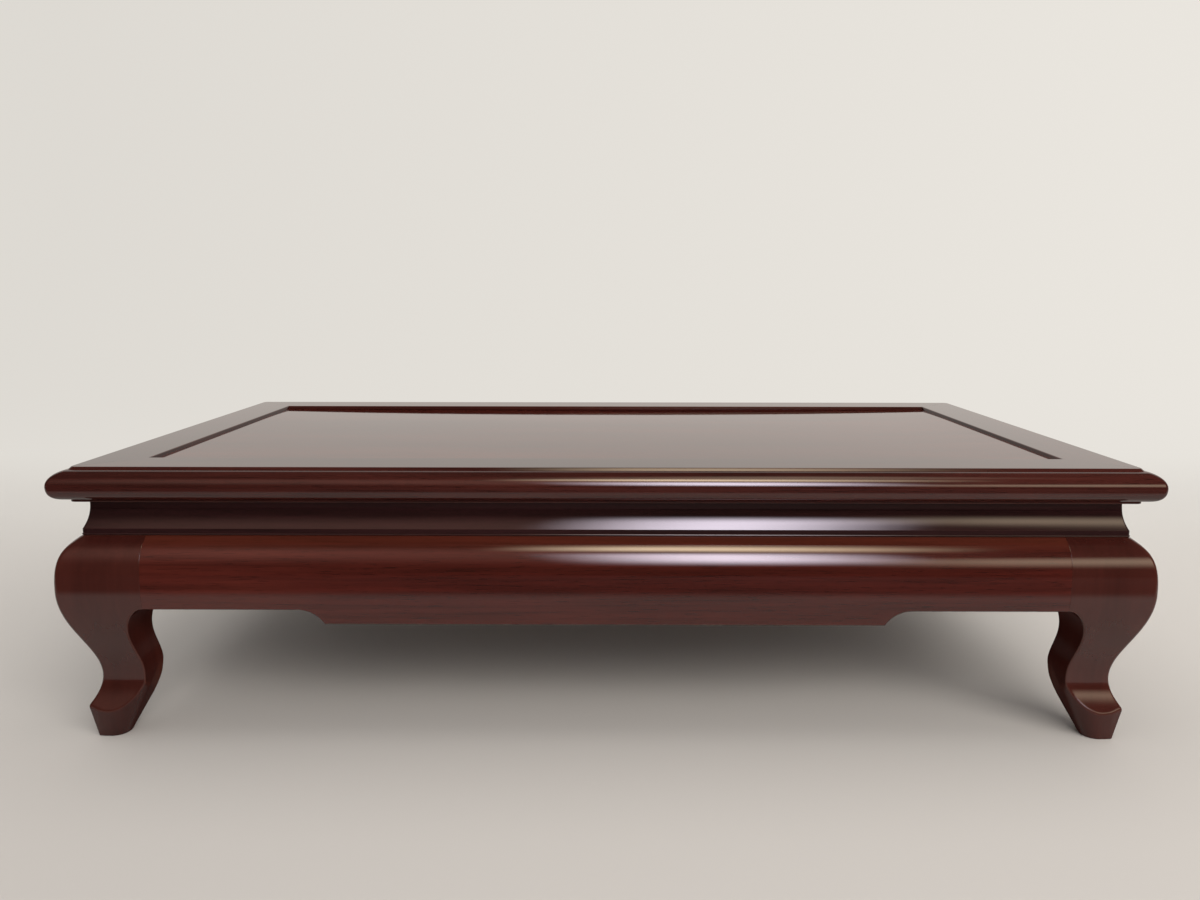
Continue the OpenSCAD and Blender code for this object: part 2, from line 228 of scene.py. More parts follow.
def between(tree, value, start, end, low=0.0, high=1.0, shape="LINEAR"):
    return node(tree, "MapRange", {"Value": value, "From Min": start, "From Max": end, "To Min": low,
                                   "To Max": high}, interpolation_type=shape).outputs["Result"]


def product(tree, first, second):
    return node(tree, "Math", {0: first, 1: second}, operation="MULTIPLY").outputs[0]


def mixShader(tree, share, first, second):
    return node(tree, "MixShader", {0: share, 1: first, 2: second}).outputs[0]


def emptyTree(owner):
    owner.use_nodes = True
    owner.node_tree.nodes.clear()
    return owner.node_tree


def endTree(tree, surface, kind="Material"):
    tree.links.new(surface, node(tree, f"Output{kind}").inputs["Surface"])


def mix(tree, kind, share, first, second):
    made = node(tree, "Mix", data_type="RGBA", blend_type=kind)
    for socket, value in ((made.inputs["Factor"], share), (made.inputs[6], first), (made.inputs[7], second)):
        if isinstance(value, bpy.types.NodeSocket):
            tree.links.new(value, socket)
        else:
            socket.default_value = value
    return made.outputs[2]


grainTurn = {"x": (0, 0, 0), "y": (0, 0, math.radians(90)), "z": (0, math.radians(90), 0)}
figure = {"noise": {"stretch": (0.9, 9, 9), "scale": 3.2, "detail": 4, "roughness": 0.55},
          "places": (0.30, 0.52, 0.74)}
fineGrain = {"noise": {"stretch": (1.0, 34, 34), "scale": 9, "detail": 5, "roughness": 0.6,
                       "distortion": 0.15},
             "tones": ((0.32, 0.45), (0.56, 1.0), (0.78, 1.35)), "glossPlaces": (0.3, 0.7), "glossSpread": 0.1}
poreGrain = {"noise": {"stretch": (1.0, 20, 20), "scale": 85, "detail": 2}, "bump": 0.00006,
             "tones": ((0.33, 0.30), (0.42, 1.0))}
patches = {"noise": {"stretch": (1, 1, 1), "scale": 5.5, "detail": 2}, "tones": ((0.3, 0.78), (0.7, 1.18)),
           "share": 0.55}
flowBump = 0.0002


def woodMaterial(name, grain, look):
    # long grain runs along one axis: noise is squeezed across it, so that it draws out into
    # streaks. Broad figure, fine streaks and short dark pores are laid over one another, and
    # the arrises, where the stain is rubbed thin, are a little lighter. On the aprons the same
    # lighter colour is also painted along the upper edge, as painted light
    material = bpy.data.materials.new(name)
    tree = emptyTree(material)
    place = node(tree, "TexCoord").outputs["Object"]
    turned = node(tree, "Mapping", {"Vector": place, "Rotation": grainTurn[grain],
                                    "Location": look["shift"]}).outputs["Vector"]

    def streaks(stretch, scale, detail, roughness=0.5, distortion=0.0):
        along = node(tree, "Mapping", {"Vector": turned, "Scale": stretch}).outputs["Vector"]
        return node(tree, "TexNoise", {"Vector": along, "Scale": scale, "Detail": detail,
                                       "Roughness": roughness, "Distortion": distortion}).outputs["Fac"]

    broad = streaks(**figure["noise"], distortion=look["wave"])
    colour = ramp(tree, broad, list(zip(figure["places"], (look["dark"], look["body"], look["light"]))))
    fine = streaks(**fineGrain["noise"])
    colour = mix(tree, "MULTIPLY", look["streak"], colour, greyRamp(tree, fine, fineGrain["tones"]))
    pores = streaks(**poreGrain["noise"])
    colour = mix(tree, "MULTIPLY", look["pores"], colour, greyRamp(tree, pores, poreGrain["tones"]))
    patch = streaks(**patches["noise"])
    colour = mix(tree, "MULTIPLY", patches["share"], colour, greyRamp(tree, patch, patches["tones"]))
    arris = node(tree, "Attribute", attribute_name="arris").outputs["Fac"]
    colour = mix(tree, "MIX", product(tree, arris, look["rub"]), colour, (*look["rubbed"], 1))
    dull = node(tree, "Attribute", attribute_name="dull").outputs["Fac"]
    shade = node(tree, "BsdfPrincipled", {
        "Base Color": colour,
        "IOR": look["ior"],
        "Specular IOR Level": look["under"],
        "Coat Weight": between(tree, dull, 0.0, 1.0, look["lacquer"], look["thinnest"]),
        "Coat Roughness": look["haze"],
        "Coat IOR": look["coatIor"]})
    rough = tuple(zip(fineGrain["glossPlaces"], (look["rough"] + fineGrain["glossSpread"], look["rough"])))
    tree.links.new(greyRamp(tree, fine, rough), shade.inputs["Roughness"])
    poreNormal = node(tree, "Bump", {"Height": pores, "Strength": look["poreDepth"],
                                     "Distance": poreGrain["bump"]}).outputs["Normal"]
    tree.links.new(poreNormal, shade.inputs["Normal"])
    flow = node(tree, "TexNoise", {"Vector": turned, "Scale": look["flowScale"], "Detail": 2}).outputs["Fac"]
    flowNormal = node(tree, "Bump", {"Height": flow, "Strength": look["flow"],
                                     "Distance": flowBump}).outputs["Normal"]
    tree.links.new(flowNormal, shade.inputs["Coat Normal"])
    endTree(tree, shade.outputs[0])
    return material


rosewood = {"dark": (0.022, 0.0045, 0.0032), "body": (0.046, 0.0085, 0.0055),
            "light": (0.078, 0.016, 0.009), "rubbed": (0.13, 0.035, 0.018), "streak": 0.6, "pores": 0.5,
            "wave": 0.5, "shift": (0, 0, 0), "rub": 0.22, "under": 0.0, "ior": 1.5,
            "lacquer": 1.0, "thinnest": 0.1, "haze": 0.06, "coatIor": 1.5, "rough": 0.42,
            "poreDepth": 0.25, "flow": 0.12, "flowScale": 45}
finishes = {
    "frame": rosewood | {"dark": (0.021, 0.0045, 0.0034), "body": (0.037, 0.0077, 0.0059),
                         "light": (0.058, 0.0128, 0.0092), "shift": (0.3, 0.11, 0.2)},
    "panel": rosewood | {"dark": (0.036, 0.0060, 0.0040), "body": (0.062, 0.0105, 0.0070),
                         "light": (0.092, 0.018, 0.0105), "wave": 0.9, "shift": (0.7, 0.4, 0.1)},
    "waist": rosewood | {"dark": (0.011, 0.0032, 0.0034), "body": (0.018, 0.0052, 0.0058),
                         "light": (0.028, 0.0080, 0.0084), "shift": (0.1, 0.5, 0.6)},
    "apron": rosewood | {"dark": (0.042, 0.0066, 0.0044), "body": (0.055, 0.0086, 0.0058),
                         "light": (0.074, 0.0130, 0.0084), "streak": 0.7, "shift": (0.9, 0.2, 0.4)},
    "leg": rosewood | {"dark": (0.032, 0.0072, 0.0052), "body": (0.048, 0.0108, 0.0078),
                       "light": (0.068, 0.0155, 0.0108), "streak": 0.18, "pores": 0.06, "poreDepth": 0.05,
                       "wave": 0.25, "flow": 0.05, "shift": (0.5, 0.8, 0.3)},
}
lacquered = {(part, grain): woodMaterial(f"{part}Rosewood{grain.upper()}", grain, look)
             for part, look in finishes.items() for grain in (("z",) if part == "leg" else ("x", "y"))}
grainOf = {"front": "x", "right": "y", "back": "x", "left": "y"}


# top frame
topFrame = {"railWidth": 41.0, "topEdge": 9.9, "topFillet": (1.3, 1.5), "innerSlope": (1.0, 2.0),
            "noseDrop": 9.9, "lowFillet": 1.8, "lowEdge": 8.8, "upperShare": (0.22, 0.74),
            "lowerShare": (0.48, 0.89), "grooveTop": 154.5, "grooveUnder": 150.1, "grooveDepth": 7.0,
            "ease": 0.35, "innerEase": 0.6, "slopeEase": 0.1, "grooveEase": 0.2, "cornerSteps": 8,
            "corners": ((0, 6, 8, 10, 30), (2.6, 2.6, 2.9, 3.4, 0.3)), "lengthSteps": 24}


def carriedRings(outline, length, s):
    # profile carried along one side: each profile point runs parallel to the edge at its own
    # inset, and at both ends turns through 45 degrees of a small arc up to the mitre
    inset, height = outline[:, 0], outline[:, 1]
    corner = np.interp(inset, *s["corners"])
    turn = np.radians(np.linspace(45, 0, s["cornerSteps"] + 1))[:, None]
    x = inset + corner - corner * np.sin(turn)
    y = inset + corner - corner * np.cos(turn)
    middle = np.linspace(0, 1, s["lengthSteps"] + 1)[1:-1, None]
    straight = (inset + corner) + middle * (length - 2 * (inset + corner))
    along = np.concatenate((x, straight, (length - x)[::-1]))
    across = np.concatenate((y, np.broadcast_to(inset, straight.shape), y[::-1]))
    return np.stack((along, across, np.broadcast_to(height, along.shape)), -1)


def railOutline(s):
    nose = (s["topEdge"] - s["topFillet"][0], stand["height"] - s["topFillet"][1])
    widest = (0.0, stand["height"] - s["noseDrop"])
    low = (s["lowEdge"], stand["railUnder"] + s["lowFillet"])
    upper, lower = quarter(nose, widest, s["upperShare"]), quarter(low, widest, s["lowerShare"])
    curve = np.concatenate((upper, lower[::-1][1:]))
    groove = s["railWidth"] - s["grooveDepth"]
    slopeWidth, slopeHeight = s["innerSlope"]
    start = [((s["railWidth"], s["grooveTop"]), s["slopeEase"]),
             ((s["railWidth"], stand["height"] - slopeHeight), s["slopeEase"]),
             ((s["railWidth"] - slopeWidth, stand["height"]), s["innerEase"]),
             ((s["topEdge"], stand["height"]), s["ease"])]
    finish = [((s["lowEdge"], stand["railUnder"]), s["ease"]),
              ((s["railWidth"], stand["railUnder"]), s["ease"]),
              ((s["railWidth"], s["grooveUnder"]), s["grooveEase"]), ((groove, s["grooveUnder"]), 0.0),
              ((groove, s["grooveTop"]), 0.0)]
    points = np.concatenate(([p for p, _ in start], curve, [p for p, _ in finish]))
    ease = np.concatenate(([e for _, e in start], np.zeros(len(curve)), [e for _, e in finish]))
    return easedOutline(points, ease)


outline, worn = railOutline(topFrame)
for side, (_, length, _) in sides.items():
    rings = carriedRings(outline, length, topFrame)
    ringMesh(f"topRail_{side}", placeOnSide(rings, side), worn, f"top_rail_{side}",
             lacquered["frame", grainOf[side]], inwards[side])
print("top frame made")


# panel
panel = {"top": 155.7, "tongueTop": 154.3, "tongueUnder": 150.1, "under": 148.1, "gap": 0.1,
         "tongue": 5.5, "ease": 0.12, "tongueEase": 0.3, "corner": 0.5, "cornerSteps": 4, "edgeSteps": 28,
         "underRim": 30, "rim": 3, "rings": 34, "ringPower": 0.8, "faceAbove": 154.8,
         "sag": 1.35, "sagPower": 4, "rise": 0.6, "risePower": 6, "backPower": 12}


def plateTable(s):
    # once round a board: which corner's centre a point hangs on (from -1 to 1 along an edge)
    # and the direction of its corner arc
    angle = np.radians(np.linspace(0, 90, s["cornerSteps"] + 1))
    run = np.linspace(1, -1, s["edgeSteps"] + 1)[1:-1]
    quarterX = np.concatenate((np.ones(len(angle)), run))
    quarterY = np.ones(len(quarterX))
    toX = np.concatenate((np.cos(angle), np.zeros(len(run))))
    toY = np.concatenate((np.sin(angle), np.ones(len(run))))
    return np.concatenate([np.stack(part) for part in (
        (quarterX, quarterY, toX, toY), (-quarterY, quarterX, -toY, toX),
        (-quarterX, -quarterY, -toX, -toY), (quarterY, -quarterX, toY, -toX))], 1)


def plateRings(profile, halfWidth, halfDepth, s):
    # closed rings round a board, one for each (outset, height) of its edge
    outset, height = profile[:, :1], profile[:, 1:]
    cornerX, cornerY, toX, toY = plateTable(s)
    radius = np.minimum(s["corner"], (halfDepth + outset) / 2)
    x = cornerX * (halfWidth + outset - radius) + radius * toX
    y = cornerY * (halfDepth + outset - radius) + radius * toY
    return np.stack((x, y, np.broadcast_to(height, x.shape)), -1)


openingWidth = stand["width"] / 2 - topFrame["railWidth"]
openingDepth = stand["depth"] / 2 - topFrame["railWidth"]
edge = [(-panel["underRim"], panel["under"]), (-panel["gap"], panel["under"]),
        (-panel["gap"], panel["tongueUnder"]), (panel["tongue"], panel["tongueUnder"]),
        (panel["tongue"], panel["tongueTop"]), (-panel["gap"], panel["tongueTop"]),
        (-panel["gap"], panel["top"]), (-panel["rim"], panel["top"])]
tongueEase = panel["tongueEase"]
edgeEase = [0, tongueEase, 0, tongueEase, tongueEase, 0, panel["ease"], 0]
profile, worn = easedOutline(edge, edgeEase, closed=False)
inwardShare = np.linspace(0, 1, panel["rings"])[1:] ** panel["ringPower"]
field = -panel["rim"] - (openingDepth - 2 * panel["rim"]) * inwardShare
profile = np.concatenate((profile, np.stack((field, np.full(len(field), panel["top"])), 1)))
worn = np.concatenate((worn, np.zeros(len(field))))
rings = plateRings(profile, openingWidth, openingDepth, panel)
# the board has cupped a little: lower towards the middle of its back edge, higher at its ends
shareX, shareY = rings[..., 0] / openingWidth, np.clip((rings[..., 1] / openingDepth + 1) / 2, 0, 1)
sag = panel["sag"] * (1 - shareX ** 2) * shareY ** panel["sagPower"]
ends = np.clip(np.abs(shareX), 0, 1) ** panel["risePower"]
rise = panel["rise"] * ends * (1 - shareY ** panel["backPower"])
rings[..., 2] += np.where(rings[..., 2] > panel["faceAbove"], rise - sag, 0)
ringMesh("topPanel", rings, worn[:, None], "top_panel", lacquered["panel", "x"])
print("panel made")


# waist
waist = {"topInset": 15.95, "footInset": 12.45, "footHeight": 3.5, "band": 1.2, "step": 0.15,
         "hollowAngle": 26, "hollowShare": (0.511, 0.278), "hollowSteps": 28, "ease": 0.25,
         "backEase": 0.3, "topEase": 0.1, "lowEase": 0.05, "corners": ((17, 25), (1.3, 0.3)),
         "cornerSteps": 6, "lengthSteps": 24, "beadRadius": 0.6, "beadOut": 0.3, "beadRise": 0.7,
         "beadTurn": (60, -44), "beadSteps": 12}


def waistOutline(s):
    # the hollow starts upright under the band and leans out to the foot's step, and a very
    # small bead runs along the foot's lower edge
    under, top, core = stand["waistUnder"], stand["railUnder"], stand["coreInset"]
    high = np.array((s["topInset"], top - s["band"]))
    low = np.array((s["footInset"] + s["step"], under + s["footHeight"]))
    hollow = sweepDown(high, heading(-90), low, heading(-90 - s["hollowAngle"]), s["hollowShare"],
                       s["hollowSteps"])
    angle = np.radians(np.linspace(*s["beadTurn"], s["beadSteps"]))
    bead = np.stack((s["footInset"] - s["beadOut"] + s["beadRadius"] * (1 - np.cos(angle)),
                     under + s["beadRadius"] * (s["beadRise"] + np.sin(angle))), 1)
    points = np.concatenate(([(core, under), (core, top), (s["topInset"], top)], hollow,
                             [(s["footInset"], low[1])], bead, [(s["footInset"], under)]))
    ease = np.concatenate(([s["backEase"], s["backEase"], s["topEase"]], np.zeros(len(hollow)), [s["ease"]],
                           np.zeros(len(bead)), [s["lowEase"]]))
    return easedOutline(points, ease)


outline, worn = waistOutline(waist)
for side, (_, length, _) in sides.items():
    rings = carriedRings(outline, length, waist)
    ringMesh(f"waist_{side}", placeOnSide(rings, side), worn, f"waist_{side}",
             lacquered["waist", grainOf[side]])
print("waist made")


# sawn outlines of legs and aprons
sawn = {"topInset": 12.15, "topAngle": 37.5, "kneeInset": 0.2, "kneeHeight": 89.6, "kneeShare": (0.285, 0.72),
        "ankleInset": 15.2, "ankleHeight": 36.2, "calfShare": (0.41, 0.294),
        "toeInset": 6.9, "toeHeight": 16.2, "instepAngle": 58, "instepShare": (0.45, 0.315),
        "legWidth": 48.2, "seamHeight": 79.3, "dropHeight": 70.2, "calfInner": 36.5, "calfDrop": 18.6,
        "ankleInner": 40.0, "innerShare": (0.367, 0.367), "roundShare": (0.5523, 0.5523),
        "kneeSteps": 80, "calfSteps": 120, "instepSteps": 60, "roundSteps": 60, "innerSteps": 50,
        "outerEnd": -2.0, "innerEnd": -30.0, "seamEnd": 90.0, "edge": 1.1, "topEdge": 0.85, "seamEdge": 0.16,
        "wornWidth": 0.3}
down = np.array((0.0, -1.0))
knee = sweepDown((sawn["topInset"], stand["waistUnder"]), -heading(sawn["topAngle"]),
                 (sawn["kneeInset"], sawn["kneeHeight"]), down, sawn["kneeShare"], sawn["kneeSteps"])
calf = sweepDown((sawn["kneeInset"], sawn["kneeHeight"]), down,
                 (sawn["ankleInset"], sawn["ankleHeight"]), down, sawn["calfShare"], sawn["calfSteps"])
instep = sweepDown((sawn["ankleInset"], sawn["ankleHeight"]), down,
                   (sawn["toeInset"], sawn["toeHeight"]), -heading(sawn["instepAngle"]), sawn["instepShare"],
                   sawn["instepSteps"])
outerLine = np.concatenate((knee, calf[1:], instep[1:], [(sawn["toeInset"], sawn["outerEnd"])]))[::-1]
outerSlope = np.gradient(outerLine[:, 0], outerLine[:, 1])
innerLine = np.concatenate((
    [(sawn["seamEnd"], sawn["seamHeight"])],
    quarter((sawn["legWidth"], sawn["seamHeight"]), (sawn["calfInner"], sawn["seamHeight"] - sawn["calfDrop"]),
            sawn["roundShare"], sawn["roundSteps"]),
    sweepDown((sawn["calfInner"], sawn["seamHeight"] - sawn["calfDrop"]), down,
              (sawn["ankleInner"], sawn["ankleHeight"]), down, sawn["innerShare"], sawn["innerSteps"])[1:],
    [(sawn["ankleInner"], sawn["innerEnd"])]))
innerPath = innerLine[::-1]  # walked upwards, the open side lies on its right hand


def outerInset(height):
    return np.interp(height, outerLine[:, 1], outerLine[:, 0])


def outerDistance(inset, height):
    # how far a point lies outside the sawn outer line, measured square to the line
    slope = np.interp(height, outerLine[:, 1], outerSlope)
    return (outerInset(height) - inset) / np.sqrt(1 + slope ** 2)


def lineDistance(line, across, height):
    # signed distance to a broken line, above 0 on its right hand: for each stretch the foot of
    # the perpendicular is held to the stretch, and the nearest stretch counts
    atOnce = 20000
    start, step = line[:-1], np.diff(line, axis=0)
    span = (step ** 2).sum(1)
    flatAcross, flatHeight = np.ravel(across), np.ravel(height)
    found = np.empty(len(flatAcross))
    for first in range(0, len(flatAcross), atOnce):
        part = slice(first, first + atOnce)
        dx, dz = flatAcross[part, None] - start[:, 0], flatHeight[part, None] - start[:, 1]
        share = np.clip((dx * step[:, 0] + dz * step[:, 1]) / span, 0, 1)
        away = np.hypot(dx - share * step[:, 0], dz - share * step[:, 1])
        nearest = away.argmin(1)
        row = np.arange(len(nearest))
        turn = dx[row, nearest] * step[nearest, 1] - dz[row, nearest] * step[nearest, 0]
        found[part] = np.sign(turn) * away[row, nearest]
    return found.reshape(np.shape(across))


def eased(first, second, radius):
    # two distances outside two bodies give the distance outside what they share, with the
    # edge between them rounded: the larger one, or inside the rounding the hypotenuse
    return np.minimum(np.maximum(first, second), -radius) + \
        np.hypot(np.maximum(radius + first, 0), np.maximum(radius + second, 0))


def wornShare(distance):
    # 1 inside an arris, 0 from the worn width outwards
    return np.clip(-distance / sawn["wornWidth"], 0, 1)


def drawnIn(points, centres, outside, steps=22):
    # moves each point of a grid straight towards its centre until it lies on the eased body,
    # by halving the stretch again and again
    near, far = np.zeros(points.shape[:2]), np.ones(points.shape[:2])
    for _ in range(steps):
        half = (near + far) / 2
        beyond = outside(points + (centres - points) * half[..., None]) > 0
        near, far = np.where(beyond, half, near), np.where(beyond, far, half)
    return points + (centres - points) * ((near + far) / 2)[..., None]


# aprons
apron = {"dropRadius": 15.5, "dropSteps": 18, "plain": {"x": 85.3, "y": 42.0}, "pastSeam": 40,
         "backEdge": 0.5, "cornerEase": 1.6, "cornerSteps": 6, "seamColumns": (0, 0.05, 0.1, 0.16, 0.24, 0.6),
         "coveFrom": 1, "plainFrom": 3, "plainColumns": 22, "leastGap": 0.8, "faceRows": (0.97, 0.06, 44),
         "underWidth": 11, "underRows": (3, 8, 4), "backRows": (0.2, 0.8, 4),
         "topRows": (0.97, 0.8, 0.5, 0.2, 0.05),
         "centre": {"fromSeam": 8, "inset": 18.0, "above": 12, "below": 9},
         "paintedStrip": 1.3, "paintedStripDepth": (7, 2), "unwornBack": 4}


def apronUnderside(length, plain, s):
    # underside in elevation: level beside the leg, down a round cove, then level again
    seam, drop = sawn["seamHeight"], sawn["dropHeight"]
    startX = sawn["legWidth"] + plain
    end = math.acos((s["dropRadius"] - (seam - drop)) / s["dropRadius"])
    angle = np.linspace(0, end, s["dropSteps"] + 1)
    cove = np.stack((startX + s["dropRadius"] * np.sin(angle),
                     seam - s["dropRadius"] * (1 - np.cos(angle))), 1)
    half = np.concatenate(([(sawn["legWidth"] - s["pastSeam"], seam)], cove, [(length / 2, drop)]))
    ease = np.zeros(len(half))
    ease[len(cove)] = s["cornerEase"]
    half, _ = easedOutline(half, ease, s["cornerSteps"], closed=False)
    return np.concatenate((half, (half * (-1, 1) + (length, 0))[::-1][1:]))


def apronMesh(side, s):
    length = sides[side][1]
    line = apronUnderside(length, s["plain"][grainOf[side]], s)
    core, top, legWidth = stand["coreInset"], stand["waistUnder"], sawn["legWidth"]
    curved = line[(line[:, 0] > legWidth + s["coveFrom"]) & (line[:, 0] < length / 2 - s["coveFrom"]), 0]
    cove = np.concatenate((curved, (curved[1:] + curved[:-1]) / 2))
    plainRun = np.linspace(legWidth + s["plainFrom"], length / 2, s["plainColumns"])
    plainRun = plainRun[np.abs(plainRun[:, None] - curved).min(1) > s["leastGap"]]
    half = np.sort(np.concatenate((legWidth + np.array(s["seamColumns"]), cove, plainRun)))
    x = np.concatenate((half, (length - half)[::-1][1:]))[:, None]
    low = np.interp(x[:, 0], line[:, 0], line[:, 1])[:, None]
    zero = np.zeros((len(x), 1))
    faceHeight = np.concatenate((zero + top - sawn["topEdge"] * tight,
                                 low + (top - low) * np.linspace(*s["faceRows"]),
                                 low + sawn["edge"] * tight[None, ::-1]), 1)
    under = np.concatenate((sawn["edge"] * tight, np.linspace(*s["underRows"]),
                            s["underWidth"] - s["backEdge"] * tight[::-1])) / s["underWidth"]
    underInset = outerInset(low) + (core - outerInset(low)) * under[None, :]
    backHeight = np.concatenate((low + s["backEdge"] * tight[None, :],
                                 low + (top - low) * np.linspace(*s["backRows"]),
                                 zero + top - s["backEdge"] * tight[::-1]), 1)
    topInset = zero + sawn["topInset"] + (core - sawn["topInset"]) * np.array(s["topRows"])
    inset = np.concatenate((outerInset(faceHeight), underInset, np.full(backHeight.shape, core), topInset), 1)
    height = np.concatenate((faceHeight, np.broadcast_to(low, underInset.shape), backHeight,
                             np.full(topInset.shape, top)), 1)
    grid = np.stack((np.broadcast_to(x, inset.shape), inset, height), -1)
    centre = s["centre"]
    centreX = np.clip(x, legWidth + centre["fromSeam"], length - legWidth - centre["fromSeam"])
    centres = np.stack((np.broadcast_to(centreX, inset.shape), np.full(inset.shape, centre["inset"]),
                        np.clip(height, low + centre["above"], top - centre["below"])), -1)

    def outside(p):
        under = lineDistance(line, p[..., 0], p[..., 2])
        front = eased(outerDistance(p[..., 1], p[..., 2]), under, sawn["edge"])
        front = eased(front, p[..., 2] - top, sawn["topEdge"])
        front = eased(front, p[..., 1] - core, s["backEdge"])
        return eased(front, np.maximum(legWidth - p[..., 0], p[..., 0] - length + legWidth), sawn["seamEdge"])

    rings = drawnIn(grid, centres, outside)
    under = lineDistance(line, rings[..., 0], rings[..., 2])
    sharp = np.maximum(outerDistance(rings[..., 1], rings[..., 2]), under)
    worn = wornShare(np.maximum(sharp, rings[..., 2] - top))
    # painted light: the colour is lighter in a strip along the face's upper edge, under the waist's overhang
    lowest, full = s["paintedStripDepth"]
    paintedStripShare = np.interp(rings[..., 2], (top - lowest, top - full), (0, s["paintedStrip"]))
    worn = np.where(rings[..., 1] < core - s["unwornBack"], np.maximum(worn, paintedStripShare), 0)
    ringMesh(f"apron_{side}", placeOnSide(rings, side), worn, f"apron_{side}",
             lacquered["apron", grainOf[side]])


for side in sides:
    apronMesh(side, apron)
print("aprons made")


# legs
leg = {"footCentre": 19.5, "footRadius": 7.7, "footTopCentre": 22.7, "footTopRadius": 19.2,
       "footTopHeight": 32.0, "footLow": -1.0, "footPast": 16, "planes": 120, "toeNib": 1.6,
       "arrisHeights": (0, 16, 36, 60, 92, 119), "arris": (1.0, 1.2, 1.6, 2.2, 2.6, 2.0),
       "rimInsets": (22, 34), "rims": (0.8, 5.0), "innerArris": 1.2, "sole": 0.5,
       "upperRows": {"below": 1.5, "above": 0.6, "count": 36, "last": 0.2}, "calfFrom": 58,
       "footRows": 84, "faceColumns": 22, "sideEase": (-0.3, 1.5),
       "centres": ((0, 32, 60, 119), (19.5, 22.7, 24, 27)), "liftHeights": (52, 60), "liftPast": 5,
       "lift": (0, 4, 8, 0), "postGap": 0.05}


def footSupport(angle, centre, radius, withInner):
    # how far the foot's plan reaches in each direction: a circle, the toe's square and, above
    # the floor, the square inner corner
    toe = centre - radius * math.cos(math.radians(45)) - leg["toeNib"]
    c, s = np.cos(angle), np.sin(angle)
    reach = centre * (c + s) + radius
    corners = [(toe, toe), (toe + radius, toe), (toe, toe + radius), (toe + radius, toe + radius)]
    if withInner:
        far = centre + radius
        corners += [(centre, far), (far, centre), (far, far)]
    for x, y in corners:
        reach = np.maximum(reach, x * c + y * s)
    return reach


def legField(s):
    angle = np.linspace(0, 2 * math.pi, s["planes"], endpoint=False)
    share = s["footLow"] / s["footTopHeight"]
    lowReach = footSupport(angle, s["footCentre"] + (s["footTopCentre"] - s["footCentre"]) * share,
                           s["footRadius"] + (s["footTopRadius"] - s["footRadius"]) * share, False)
    topReach = footSupport(angle, s["footTopCentre"], s["footTopRadius"], True)
    spread = (topReach - lowReach) / (s["footTopHeight"] - s["footLow"])
    tilt = 1 / np.sqrt(1 + spread ** 2)

    def foot(x, y, z):
        # the foot's taper is what a ring of slanted planes leaves
        far = np.full(np.shape(x), -50.0)  # deep inside, wherever the foot doesn't reach
        low = z < s["footTopHeight"] + s["footPast"]
        reach = lowReach + spread * (z[low][:, None] - s["footLow"])
        along = x[low][:, None] * np.cos(angle) + y[low][:, None] * np.sin(angle)
        far[low] = ((along - reach) * tilt).max(1)
        return far

    def outside(p):
        x, y, z = p[..., 0], p[..., 1], p[..., 2]
        shell = eased(outerDistance(y, z), outerDistance(x, z), np.interp(z, s["arrisHeights"], s["arris"]))
        inner = eased(lineDistance(innerPath, x, z), lineDistance(innerPath, y, z), s["innerArris"])
        shell = eased(shell, inner, sawn["edge"])
        shell = eased(shell, foot(x, y, z), np.interp(np.minimum(x, y), s["rimInsets"], s["rims"]))
        shell = eased(shell, -z, s["sole"])
        shell = eased(shell, z - stand["waistUnder"], sawn["topEdge"])
        return eased(shell, np.maximum(x, y) - sawn["legWidth"], sawn["seamEdge"])

    def sharpness(p):
        x, y, z = p[..., 0], p[..., 1], p[..., 2]
        return np.maximum.reduce((outerDistance(y, z), outerDistance(x, z), lineDistance(innerPath, x, z),
                                  lineDistance(innerPath, y, z), foot(x, y, z), z - stand["waistUnder"]))
    return outside, sharpness


